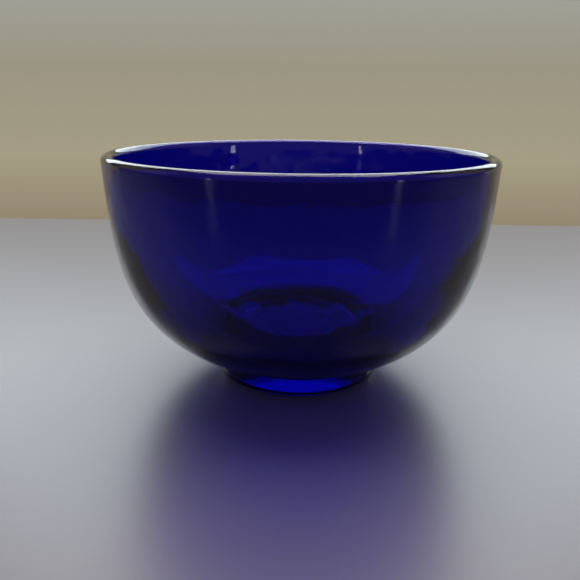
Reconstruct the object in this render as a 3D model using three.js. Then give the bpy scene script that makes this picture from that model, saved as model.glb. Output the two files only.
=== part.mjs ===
import * as THREE from 'three';

// A small heavy-based bowl of cobalt blue glass: the blown body with its fire-polished rim,
// and the low ring it stands on, which was put on hot.
// Sizes are in millimetres. The bowl stands on z = 0 and its axis is Z.

// Driving dimensions
const rimDiameter = 140;
const sideTop = 81.3;           // height where the side ends and the rounding of the rim begins
const rimWall = 4.2;            // glass at the rim, rounded over to a half circle
const wallGrowth = 4;           // how much thicker the wall is low down than at the rim
const thickensAt = 47;          // height at which about half of that is reached
const floorFrom = 24;           // height up the side from which the inside bends away to the floor
const floorHeight = 18.5;       // lowest point of the inside, above the table
const footHeight = 7;
const footTopDiameter = 62.8;
const footBaseDiameter = 61.6;
const footEdge = 1.2;           // radius on the outer edge of the foot's base
const hollowDiameter = 49;      // of the dished hollow under the bowl, where it meets the table
const hollowHeight = 6.5;
const middleDiameter = 32;      // of the pushed-up middle of the body, which the foot is laid round
const seamGap = 0.3;            // left between the foot and the body

// Form of the side, from the foot to the rim, and of the hollow
const curl = 16;                // height over which the swing outwards falls to 1/e of itself
const straightShare = 0.04;     // share of the swing that is one straight lean up to the rim
const thickensOver = 10;        // a smaller value makes the thickening more sudden
const hollowPower = 2.3;        // 2 would be a parabola

// Fineness of the solids
const facets = 72;
const outsideSteps = 15;
const insideSteps = 9;
const floorSteps = 12;
const rimSteps = 8;
const hollowSteps = 4;
const cornerSteps = 3;

const footTop = footTopDiameter / 2;
const footBase = footBaseDiameter / 2;
const hollowRadius = hollowDiameter / 2;
const middleRadius = middleDiameter / 2;
const bodyBottom = footHeight + seamGap;

// Share of the way from the foot's radius to the rim's, at a height up the side
function swing(z) {
  const rise = (z - footHeight) / (sideTop - footHeight);
  const settle = (height) => 1 - Math.exp(-height / curl);
  const curved = settle(z - footHeight) / settle(sideTop - footHeight);
  return (1 - straightShare) * curved + straightShare * rise;
}

function sideRadius(z) {
  return footTop + (rimDiameter / 2 - footTop) * swing(z);
}

// Unit vector out of the side, square to it
function outward(z) {
  const step = 0.01;
  const slope = (sideRadius(z + step) - sideRadius(z - step)) / (2 * step);
  return new THREE.Vector2(1, -slope).normalize();
}

function wallAt(z) {
  const heft = (height) => 1 / (1 + Math.exp((height - thickensAt) / thickensOver));
  return rimWall + wallGrowth * (heft(z) - heft(sideTop));
}

// Heights up the side, closer together lower down, where it bends most
function sideHeights(bottom, steps) {
  return Array.from({ length: steps + 1 }, (_, i) =>
    bottom + (sideTop - bottom) * (i / steps) ** 1.5);
}

function arc(centre, radius, from, to, steps) {
  return Array.from({ length: steps + 1 }, (_, i) => {
    const angle = from + (to - from) * i / steps;
    return new THREE.Vector2(
      centre.x + radius * Math.cos(angle),
      centre.y + radius * Math.sin(angle),
    );
  });
}

// The dished hollow under the bowl, between two radii: part of it is in the body, the rest in the foot
function hollow(from, to) {
  return Array.from({ length: hollowSteps + 1 }, (_, i) => {
    const radius = from + (to - from) * i / hollowSteps;
    return new THREE.Vector2(radius, hollowHeight * (1 - (radius / hollowRadius) ** hollowPower));
  });
}

// Inside floor: a dish that is nearly flat in the middle and runs into the wall without a corner
function insideFloor(edge, edgeSlope) {
  const lift = edge.y - floorHeight;
  const power = edgeSlope * edge.x / lift;
  return Array.from({ length: floorSteps }, (_, i) => {
    const share = 1 - (i + 1) / floorSteps;
    return new THREE.Vector2(edge.x * share, floorHeight + lift * share ** power);
  });
}

function insideAt(z) {
  return new THREE.Vector2(sideRadius(z), z).addScaledVector(outward(z), -wallAt(z));
}

function bodyOutline() {
  const bodyMiddle = middleRadius - seamGap;
  const underside = [...hollow(0, bodyMiddle), new THREE.Vector2(bodyMiddle, bodyBottom)];
  const outside = sideHeights(bodyBottom, outsideSteps).map((z) => new THREE.Vector2(sideRadius(z), z));
  const inside = sideHeights(floorFrom, insideSteps).map(insideAt);

  const out = outward(sideTop);
  const rimCentre = outside.at(-1).clone().addScaledVector(out, -rimWall / 2);
  const rim = arc(rimCentre, rimWall / 2, out.angle() - 2 * Math.PI, out.angle() - Math.PI, rimSteps);

  const climb = insideAt(floorFrom + 0.01).sub(inside[0]);
  const floor = insideFloor(inside[0], climb.y / climb.x);
  return [...underside, ...outside, ...rim.slice(1, -1), ...inside.reverse(), ...floor];
}

// The foot: a ring with a flat base, hollowed on its inner side and rounded on its outer edge
function footOutline() {
  const edge = new THREE.Vector2(footBase - footEdge, footEdge);
  const outline = [
    ...hollow(middleRadius, hollowRadius),
    ...arc(edge, footEdge, 1.5 * Math.PI, 2 * Math.PI, cornerSteps),
    new THREE.Vector2(footTop, footHeight),
    new THREE.Vector2(middleRadius, footHeight),
  ];
  return [...outline, outline[0].clone()];
}

// A lathe turns about Y, so the solid is stood up on Z
function turned(name, outline, material) {
  const geometry = new THREE.LatheGeometry(outline, facets);
  geometry.rotateX(Math.PI / 2);
  const mesh = new THREE.Mesh(geometry, material);
  mesh.name = name;
  return mesh;
}

const bodyGlass = new THREE.MeshStandardMaterial({
  color: 0x0b0a5e, roughness: 0.03, metalness: 0, transparent: true, opacity: 0.75,
});
const footGlass = new THREE.MeshStandardMaterial({
  color: 0x0e0ca0, roughness: 0.04, metalness: 0, transparent: true, opacity: 0.7,
});

const bowl = new THREE.Group();
bowl.add(turned('bowl_body', bodyOutline(), bodyGlass));
bowl.add(turned('foot_ring', footOutline(), footGlass));

export default bowl;
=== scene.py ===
import math

import bpy
from mathutils import Matrix, Vector


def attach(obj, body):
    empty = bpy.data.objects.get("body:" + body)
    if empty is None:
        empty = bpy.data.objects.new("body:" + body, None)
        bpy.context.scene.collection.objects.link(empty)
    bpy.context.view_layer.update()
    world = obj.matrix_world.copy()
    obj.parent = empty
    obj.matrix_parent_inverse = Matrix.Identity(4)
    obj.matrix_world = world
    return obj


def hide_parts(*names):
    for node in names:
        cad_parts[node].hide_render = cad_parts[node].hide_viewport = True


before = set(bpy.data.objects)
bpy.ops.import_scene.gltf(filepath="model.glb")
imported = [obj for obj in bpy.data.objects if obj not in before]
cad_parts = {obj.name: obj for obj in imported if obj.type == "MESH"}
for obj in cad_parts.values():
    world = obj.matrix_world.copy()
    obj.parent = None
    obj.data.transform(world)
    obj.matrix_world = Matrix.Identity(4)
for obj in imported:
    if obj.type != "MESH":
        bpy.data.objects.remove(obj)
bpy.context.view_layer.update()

scene = bpy.context.scene


# The view: a hand-held camera a little above the rim and close to the bowl, looking down into it.
# Distances are from the bowl's axis and from the table, angles are in radians.
MM = 0.001
picture_side = 580
lens_in_pixels = 581.0
camera_back = 217.35 * MM
camera_height = 100.99 * MM
look_down = 0.3143
look_aside = -0.0151
tilt = 0.01084
sensor_width = 36.0
nearest_seen = 10 * MM

camera_data = bpy.data.cameras.new("camera")
camera_data.sensor_width = sensor_width
camera_data.lens = lens_in_pixels / picture_side * sensor_width
camera_data.clip_start = nearest_seen
camera = bpy.data.objects.new("camera", camera_data)
scene.collection.objects.link(camera)
ahead = Vector((
    math.sin(look_aside) * math.cos(look_down),
    math.cos(look_aside) * math.cos(look_down),
    -math.sin(look_down),
))
level_right = Vector((math.cos(look_aside), -math.sin(look_aside), 0.0))
level_up = level_right.cross(ahead)
right = level_right * math.cos(tilt) + level_up * math.sin(tilt)
up = level_up * math.cos(tilt) - level_right * math.sin(tilt)
camera.matrix_world = Matrix((
    (right.x, up.x, -ahead.x, 0.0),
    (right.y, up.y, -ahead.y, -camera_back),
    (right.z, up.z, -ahead.z, camera_height),
    (0.0, 0.0, 0.0, 1.0),
))
scene.camera = camera


# The body of the bowl: one gather of cobalt blue glass, blown, opened out on the rod and left
# thick and heavy at the base. Its rim was cut hot and melted round in the fire, and the middle of
# its underside is pushed up. Sizes in millimetres repeat those of the solid.
rim_radius = 70.0
side_top = 81.3
rim_wall = 4.2
wall_growth = 4.0  # how much thicker the wall is low down than at the rim
thickens_at = 47.0  # height at which about half of that is reached
thickens_over = 10.0  # a smaller value makes the thickening more sudden
floor_from = 24.0  # height up the side from which the inside bends away to the floor
floor_height = 18.5
foot_height = 7.0
foot_top_radius = 31.4
hollow_radius = 24.5
hollow_height = 6.5
hollow_power = 2.3  # 2 would be a parabola
middle_radius = 16.0
curl = 16.0  # height over which the swing outwards falls to 1/e of itself
straight_share = 0.04  # share of the swing that is one straight lean up to the rim
slope_step = 0.01

side_steps = 96
side_crowding = 1.4
rim_steps = 24
floor_steps = 64
hollow_steps = 24
turned_facets = 256
sharp_edge = math.radians(15)


def swing(z):
    """Share of the way from the foot's radius to the rim's, at a height up the side."""
    settled = 1 - math.exp(-(z - foot_height) / curl)
    settled_at_top = 1 - math.exp(-(side_top - foot_height) / curl)
    rise = (z - foot_height) / (side_top - foot_height)
    return (1 - straight_share) * settled / settled_at_top + straight_share * rise


def side_radius(z):
    return foot_top_radius + (rim_radius - foot_top_radius) * swing(z)


def out_of_side(z):
    """The unit vector out of the side, square to it, as (radius, height)."""
    slope = (side_radius(z + slope_step) - side_radius(z - slope_step)) / (2 * slope_step)
    return Vector((1.0, -slope)).normalized()


def heft(z):
    """How far the wall has thickened at a height, from 0 far up to 1 far down."""
    return 1 / (1 + math.exp((z - thickens_at) / thickens_over))


def inside_at(z):
    """The point of the inside that faces the outside's point at this height."""
    wall = rim_wall + wall_growth * (heft(z) - heft(side_top))
    return Vector((side_radius(z), z)) - out_of_side(z) * wall


def side_heights(bottom):
    """Heights up the side, closer together lower down, where it bends most."""
    share = [(i / side_steps) ** side_crowding for i in range(side_steps + 1)]
    return [bottom + (side_top - bottom) * part for part in share]


def arc(centre, radius, start, end, steps):
    points = []
    for i in range(steps + 1):
        angle = start + (end - start) * i / steps
        across = centre[0] + radius * math.cos(angle)
        height = centre[1] + radius * math.sin(angle)
        points.append((across, height))
    return points


def hollow(start, end):
    """The dished hollow under the bowl between two radii: part body, the rest foot."""
    points = []
    for i in range(hollow_steps + 1):
        radius = start + (end - start) * i / hollow_steps
        points.append((radius, hollow_height * (1 - (radius / hollow_radius) ** hollow_power)))
    return points


def bowl_outline():
    """Half of the bowl's section, from the middle of the underside round to that of the floor."""
    underside = hollow(0.0, middle_radius) + [(middle_radius, foot_height)]
    outside = [(side_radius(z), z) for z in side_heights(foot_height)]
    inside = [tuple(inside_at(z)) for z in side_heights(floor_from)]

    out = out_of_side(side_top)
    lean = math.atan2(out.y, out.x)
    rim_centre = (
        outside[-1][0] - out.x * rim_wall / 2,
        outside[-1][1] - out.y * rim_wall / 2,
    )
    rim = arc(rim_centre, rim_wall / 2, lean, lean + math.pi, rim_steps)

    edge = inside[0]
    lift = edge[1] - floor_height
    climb = inside_at(floor_from + slope_step) - inside_at(floor_from)
    power = climb.y / climb.x * edge[0] / lift
    floor = []
    for i in range(1, floor_steps + 1):
        share = 1 - i / floor_steps
        floor.append((edge[0] * share, floor_height + lift * share ** power))
    return underside + outside + rim[1:-1] + inside[::-1] + floor


def turned(name, outline, closed):
    """A body of revolution about Z from (radius, height) points in millimetres."""
    points, rings = [], []
    for radius, height in outline:
        if radius == 0.0:
            rings.append([len(points)] * turned_facets)
            points.append((0.0, 0.0, height * MM))
            continue
        rings.append(list(range(len(points), len(points) + turned_facets)))
        for k in range(turned_facets):
            angle = 2 * math.pi * k / turned_facets
            x = radius * MM * math.cos(angle)
            y = radius * MM * math.sin(angle)
            points.append((x, y, height * MM))
    faces = []
    for i in range(len(rings) if closed else len(rings) - 1):
        low, high = rings[i], rings[(i + 1) % len(rings)]
        for k in range(turned_facets):
            after = (k + 1) % turned_facets
            corners = [low[k], low[after], high[after], high[k]]
            # On the axis two of the corners are one point, which is kept once.
            faces.append(list(dict.fromkeys(corners)))
    mesh = bpy.data.meshes.new(name)
    mesh.from_pydata(points, [], faces)
    mesh.polygons.foreach_set("use_smooth", [True] * len(mesh.polygons))
    mesh.set_sharp_from_angle(angle=sharp_edge)
    piece = bpy.data.objects.new(name, mesh)
    scene.collection.objects.link(piece)
    return piece


bowl_body = turned("blown_body", bowl_outline(), closed=False)

# The skin of hand-worked glass, as a group that every glass here shares: a slow waviness, faint
# rings from turning on the rod, and soft smears where the polish has been handled. The rings are
# the waves of a second pattern, squashed so that they lie closer up the side than round it.
waves_per_metre = 40.0
wave_detail = 2.0
rings_per_metre = 14.0
ring_detail = 1.0
ring_squash = 7.0
smears_per_metre = 38.0
smear_detail = 6.0
smear_from = 0.52
smear_to = 0.78
blown_finish = {
    "Wave Depth": 0.6 * MM,
    "Ring Depth": 0.09 * MM,
    "Polished": 0.03,
    "Smeared": 0.14,
}


def place_on(tree):
    """Where a point lies on its own piece, in metres."""
    return tree.nodes.new("ShaderNodeTexCoord").outputs["Object"]


def clouds(tree, place, per_metre, detail):
    """A cloudy pattern from 0 to 1, with this many clouds to a metre."""
    pattern = tree.nodes.new("ShaderNodeTexNoise")
    pattern.inputs["Scale"].default_value = per_metre
    pattern.inputs["Detail"].default_value = detail
    tree.links.new(place, pattern.inputs["Vector"])
    return pattern.outputs["Fac"]


def times(tree, first, second, plus=None):
    """One value times another, with a third added to it if there is one."""
    sum_up = tree.nodes.new("ShaderNodeMath")
    sum_up.operation = "MULTIPLY" if plus is None else "MULTIPLY_ADD"
    values = [value for value in (first, second, plus) if value is not None]
    for value, socket in zip(values, sum_up.inputs):
        tree.links.new(value, socket)
    return sum_up.outputs["Value"]


hand_worked = bpy.data.node_groups.new("hand_worked_skin", "ShaderNodeTree")
for setting in blown_finish:
    hand_worked.interface.new_socket(setting, in_out="INPUT", socket_type="NodeSocketFloat")
for result in ("Roughness", "Height"):
    hand_worked.interface.new_socket(result, in_out="OUTPUT", socket_type="NodeSocketFloat")
skin_in = hand_worked.nodes.new("NodeGroupInput")
skin_out = hand_worked.nodes.new("NodeGroupOutput")
skin_place = place_on(hand_worked)

squash = hand_worked.nodes.new("ShaderNodeMapping")
squash.inputs["Scale"].default_value = (1.0, 1.0, ring_squash)
hand_worked.links.new(skin_place, squash.inputs["Vector"])
waves = clouds(hand_worked, skin_place, waves_per_metre, wave_detail)
turning_rings = clouds(hand_worked, squash.outputs["Vector"], rings_per_metre, ring_detail)
wave_height = times(hand_worked, waves, skin_in.outputs["Wave Depth"])
skin_height = times(hand_worked, turning_rings, skin_in.outputs["Ring Depth"], wave_height)
hand_worked.links.new(skin_height, skin_out.inputs["Height"])

smears = hand_worked.nodes.new("ShaderNodeMapRange")
smears.inputs["From Min"].default_value = smear_from
smears.inputs["From Max"].default_value = smear_to
smear_clouds = clouds(hand_worked, skin_place, smears_per_metre, smear_detail)
hand_worked.links.new(smear_clouds, smears.inputs["Value"])
hand_worked.links.new(skin_in.outputs["Polished"], smears.inputs["To Min"])
hand_worked.links.new(skin_in.outputs["Smeared"], smears.inputs["To Max"])
hand_worked.links.new(smears.outputs["Result"], skin_out.inputs["Roughness"])

# Colour is in the depth of the glass, and a little of it in the surface, because thin and thick
# cobalt glass differ less in strength than depth alone would make them.
glass_bend = 1.52
cobalt_surface = (0.5, 0.5, 0.62, 1.0)
cobalt_tint = (0.15, 0.13, 0.96, 1.0)
cobalt_depth = 1200.0
height_in_metres = 1.0


def glass(name, finish):
    """Cobalt glass whose node called skin takes its settings from the finish."""
    material = bpy.data.materials.new(name)
    material.use_nodes = True
    nodes, links = material.node_tree.nodes, material.node_tree.links
    shader = nodes["Principled BSDF"]
    shader.inputs["Base Color"].default_value = cobalt_surface
    shader.inputs["IOR"].default_value = glass_bend
    shader.inputs["Transmission Weight"].default_value = 1.0
    depth = nodes.new("ShaderNodeVolumeAbsorption")
    depth.inputs["Color"].default_value = cobalt_tint
    depth.inputs["Density"].default_value = cobalt_depth
    links.new(depth.outputs["Volume"], nodes["Material Output"].inputs["Volume"])
    skin = nodes.new("ShaderNodeGroup")
    skin.name = "skin"
    skin.node_tree = hand_worked
    for setting, value in finish.items():
        skin.inputs[setting].default_value = value
    bump = nodes.new("ShaderNodeBump")
    bump.inputs["Distance"].default_value = height_in_metres
    links.new(skin.outputs["Height"], bump.inputs["Height"])
    links.new(bump.outputs["Normal"], shader.inputs["Normal"])
    links.new(skin.outputs["Roughness"], shader.inputs["Roughness"])
    return material


bowl_body.data.materials.append(glass("cobalt_glass", blown_finish))
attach(bowl_body, "root")
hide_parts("bowl_body")


# The foot: a low ring of the same glass, laid on hot round the pushed-up middle, so that the two
# run together with no gap. It leans in slightly to its flat base, which is scuffed from use.
foot_base_radius = 30.8
foot_edge = 1.2
edge_steps = 12
wall_steps = 8
melted_in = 0.05


def straight(start, end, steps):
    """Points between two ends, both left out."""
    points = []
    for i in range(1, steps):
        share = i / steps
        across = start[0] + (end[0] - start[0]) * share
        height = start[1] + (end[1] - start[1]) * share
        points.append((across, height))
    return points


def foot_outline():
    """The ring's section, from the hollow's highest point round by the base and up the outside."""
    edge_centre = (foot_base_radius - foot_edge, foot_edge)
    facing_down, facing_out = 1.5 * math.pi, 2 * math.pi
    edge = arc(edge_centre, foot_edge, facing_down, facing_out, edge_steps)
    top = (foot_top_radius, foot_height + melted_in)
    inner_top = (middle_radius - melted_in, foot_height + melted_in)
    wall = straight(edge[-1], top, wall_steps)
    return hollow(middle_radius - melted_in, hollow_radius) + edge + wall + [top, inner_top]


foot_ring = turned("laid_on_foot", foot_outline(), closed=True)

# Wear on the flat that the bowl stands on: frosted by fine scratches, fading out just above it.
worn_up_to = 0.25 * MM
frosted = 0.3
scratches_per_metre = 900.0
scratch_detail = 2.0


def along(tree, axis, start, end):
    """A node that goes from 0 to 1 along an axis of the piece, between two places in metres."""
    axes = tree.nodes.new("ShaderNodeSeparateXYZ")
    tree.links.new(place_on(tree), axes.inputs["Vector"])
    share = tree.nodes.new("ShaderNodeMapRange")
    share.inputs["From Min"].default_value = start
    share.inputs["From Max"].default_value = end
    tree.links.new(axes.outputs[axis], share.inputs["Value"])
    return share


foot_glass = glass("cobalt_glass_worn_foot", blown_finish)
foot_tree = foot_glass.node_tree
worn = along(foot_tree, "Z", 0.0, worn_up_to)
worn.inputs["To Min"].default_value = frosted
worn.inputs["To Max"].default_value = 0.0
scratches = clouds(foot_tree, place_on(foot_tree), scratches_per_metre, scratch_detail)
unworn = foot_tree.nodes["skin"].outputs["Roughness"]
scuffed = times(foot_tree, worn.outputs["Result"], scratches, unworn)
foot_tree.links.new(scuffed, foot_tree.nodes["Principled BSDF"].inputs["Roughness"])

foot_ring.data.materials.append(foot_glass)
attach(foot_ring, "root")
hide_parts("foot_ring")


# The place: a grey table top with a soft satin finish, which looks pale where the window shines off
# it; in front of the bowl its colour darkens as painted shade. Behind it is a beige backdrop,
# darker at its foot as painted shadow where it meets the table and paler and bluer at its top as
# painted light.
# The tones are given with their places along the table and up the backdrop, in metres.
sheet_half_width = 1.2
table_front = -1.2
table_back = 0.286
table_satin = 0.35
table_sheen = 1.0
# painted shade: the table's colour darkens towards its front, in front of the bowl
table_tones_painted_shade = (
    (-0.24, (0.06, 0.06, 0.062, 1.0)),
    (-0.1, (0.16, 0.16, 0.167, 1.0)),
)
backdrop_at = 0.56
backdrop_low = -0.5
backdrop_top = 0.22
# painted shadow darkens the lowest tone where the backdrop meets the table; painted light makes the
# top tone paler and bluer
backdrop_tones_painted_shade_and_light = (
    (-0.05, (0.29, 0.24, 0.16, 1.0)),
    (0.03, (0.37, 0.33, 0.225, 1.0)),
    (0.14, (0.32, 0.295, 0.22, 1.0)),
    (0.22, (0.34, 0.345, 0.3, 1.0)),
)
backdrop_black = (0.0, 0.0, 0.0, 1.0)
backdrop_glow = 1.0


def toned_paint(name, axis, tones):
    """A paint, its shader, and a colour that runs through the tones along an axis of the sheet."""
    paint = bpy.data.materials.new(name)
    paint.use_nodes = True
    tree = paint.node_tree
    first, last = tones[0][0], tones[-1][0]
    ramp = tree.nodes.new("ShaderNodeValToRGB")
    stops = ramp.color_ramp.elements
    while len(stops) < len(tones):
        stops.new(1.0)
    for stop, (place, colour) in zip(stops, tones):
        stop.position = (place - first) / (last - first)
        stop.color = colour
    tree.links.new(along(tree, axis, first, last).outputs["Result"], ramp.inputs["Fac"])
    return paint, tree.nodes["Principled BSDF"], ramp.outputs["Color"]


def flat_sheet(name, near_edge, far_edge, paint):
    """A wide sheet between two level edges, each given as (distance back, height)."""
    corners = [
        (-sheet_half_width, *near_edge),
        (sheet_half_width, *near_edge),
        (sheet_half_width, *far_edge),
        (-sheet_half_width, *far_edge),
    ]
    mesh = bpy.data.meshes.new(name)
    mesh.from_pydata(corners, [], [(0, 1, 2, 3)])
    sheet = bpy.data.objects.new(name, mesh)
    scene.collection.objects.link(sheet)
    mesh.materials.append(paint)


table_paint, table_shader, table_painted_shade_colour = toned_paint("table_paint", "Y", table_tones_painted_shade)
table_shader.inputs["Roughness"].default_value = table_satin
table_shader.inputs["Specular IOR Level"].default_value = table_sheen
# the table's colour carries the painted shade in front of the bowl
table_paint.node_tree.links.new(table_painted_shade_colour, table_shader.inputs["Base Color"])
flat_sheet("table_top", (table_front, 0.0), (table_back, 0.0), table_paint)

backdrop_paint, backdrop_shader, backdrop_painted_shade_and_light_colour = toned_paint(
    "backdrop_paint", "Z", backdrop_tones_painted_shade_and_light)
backdrop_shader.inputs["Base Color"].default_value = backdrop_black
backdrop_shader.inputs["Emission Strength"].default_value = backdrop_glow
# the backdrop's glow carries the painted shadow at its foot and the painted light at its top
backdrop_paint.node_tree.links.new(backdrop_painted_shade_and_light_colour, backdrop_shader.inputs["Emission Color"])
flat_sheet("backdrop", (backdrop_at, backdrop_low), (backdrop_at, backdrop_top), backdrop_paint)


# The light: a wide soft window behind the bowl and soft light from overhead. The room in front is
# dim, with a faint glow from each side and two small lamps that put streaks on the inside.
window_tall = 0.56
window_middle = backdrop_top + window_tall / 2
window_white = (0.84, 0.95, 1.0)
overhead_white = (1.0, 0.87, 0.92)
side_pink = (1.0, 0.82, 0.88)
lamp_height = 0.14
lamp_white = (1.0, 1.0, 1.0)
room_shade = (0.14, 0.105, 0.115, 1.0)
glass_bounces = 24


def soft_light(name, at, towards, wide, tall, glow, colour):
    """A flat lamp whose face glows at this strength, as seen from in front."""
    lamp = bpy.data.lights.new(name, "AREA")
    lamp.shape = "RECTANGLE"
    lamp.size = wide
    lamp.size_y = tall
    lamp.energy = glow * math.pi * wide * tall
    lamp.color = colour
    holder = bpy.data.objects.new(name, lamp)
    scene.collection.objects.link(holder)
    holder.location = at
    holder.rotation_euler = (Vector(towards) - Vector(at)).to_track_quat("-Z", "Y").to_euler()


soft_light("window", at=(0.0, backdrop_at, window_middle), towards=(0.0, 0.0, window_middle),
           wide=1.2, tall=window_tall, glow=3.4, colour=window_white)
soft_light("overhead", at=(0.0, 0.3, 1.1), towards=(0.0, 0.0, 0.0),
           wide=1.2, tall=0.9, glow=3.1, colour=overhead_white)
for name, aside in (("side_left", -0.9), ("side_right", 0.9)):
    soft_light(name, at=(aside, 0.1, 0.5), towards=(0.0, 0.0, 0.1),
               wide=0.8, tall=0.5, glow=0.2, colour=side_pink)
for name, aside, back in (("lamp_left", -0.7, -0.7), ("lamp_right", 0.78, -0.62)):
    soft_light(name, at=(aside, back, lamp_height), towards=(0.0, 0.0, lamp_height),
               wide=0.05, tall=0.1, glow=4.0, colour=lamp_white)

room = bpy.data.worlds.new("room")
scene.world = room
room.use_nodes = True
room.node_tree.nodes["Background"].inputs["Color"].default_value = room_shade

scene.cycles.max_bounces = glass_bounces
scene.cycles.transmission_bounces = glass_bounces
scene.view_settings.view_transform = "Standard"
